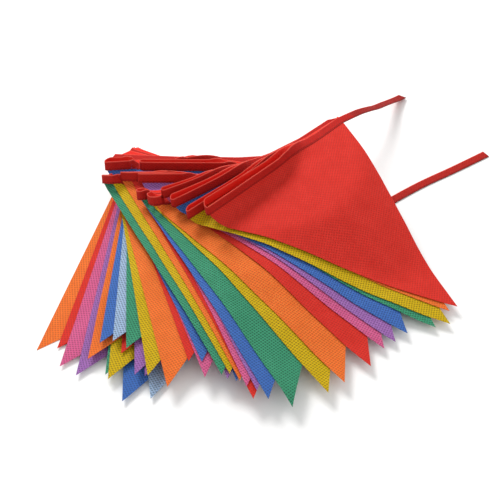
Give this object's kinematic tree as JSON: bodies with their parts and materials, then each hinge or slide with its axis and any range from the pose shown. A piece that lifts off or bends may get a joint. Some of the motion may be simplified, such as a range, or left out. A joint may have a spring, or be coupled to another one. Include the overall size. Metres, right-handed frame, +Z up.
{
  "type": "pennant bunting",
  "caption": "Rainbow triangular pennant bunting of non-woven cloth on a red binding tape, folded back and forth and fanned out on a table.",
  "frame": {"origin": "middle of the bounds of the underside, where the pile rests on the table", "axes": "+Z up from the table; the pennant tips fan out towards -Y and +X; the ties run towards +X"},
  "size_m": [0.4558, 0.443, 0.0764],
  "materials": {
    "nonwoven_red": "matte, embossed non-woven",
    "nonwoven_orange": "matte, embossed non-woven",
    "nonwoven_yellow": "matte, embossed non-woven",
    "nonwoven_green": "matte, embossed non-woven",
    "nonwoven_blue": "matte, embossed non-woven",
    "nonwoven_purple": "matte, embossed non-woven",
    "nonwoven_pink": "matte, embossed non-woven",
    "nonwoven_sky": "matte, embossed non-woven",
    "binding_tape_red": "matte, folded and stitched"
  },
  "bodies": {
    "root": {"pennant_01_red": "nonwoven_red", "pennant_02_orange": "nonwoven_orange", "pennant_03_yellow": "nonwoven_yellow", "pennant_04_green": "nonwoven_green", "pennant_05_blue": "nonwoven_blue", "pennant_06_purple": "nonwoven_purple", "pennant_07_pink": "nonwoven_pink", "pennant_08_red": "nonwoven_red", "pennant_09_orange": "nonwoven_orange", "pennant_10_yellow": "nonwoven_yellow", "pennant_11_green": "nonwoven_green", "pennant_12_blue": "nonwoven_blue", "pennant_13_purple": "nonwoven_purple", "pennant_14_pink": "nonwoven_pink", "pennant_15_red": "nonwoven_red", "pennant_16_orange": "nonwoven_orange", "pennant_17_yellow": "nonwoven_yellow", "pennant_18_green": "nonwoven_green", "pennant_19_blue": "nonwoven_blue", "pennant_20_purple": "nonwoven_purple", "pennant_21_blue": "nonwoven_blue", "pennant_22_pink": "nonwoven_pink", "pennant_23_red": "nonwoven_red", "pennant_24_orange": "nonwoven_orange", "pennant_25_yellow": "nonwoven_yellow", "pennant_26_green": "nonwoven_green", "pennant_27_sky": "nonwoven_sky", "pennant_28_blue": "nonwoven_blue", "pennant_29_purple": "nonwoven_purple", "pennant_30_purple": "nonwoven_purple", "pennant_31_red": "nonwoven_red", "pennant_32_orange": "nonwoven_orange", "pennant_33_yellow": "nonwoven_yellow", "pennant_34_green": "nonwoven_green", "pennant_35_sky": "nonwoven_sky", "pennant_36_blue": "nonwoven_blue", "pennant_37_purple": "nonwoven_purple", "pennant_38_pink": "nonwoven_pink", "pennant_39_red": "nonwoven_red", "pennant_40_orange": "nonwoven_orange", "heading_tape": "binding_tape_red"}
  },
  "joints": []
}
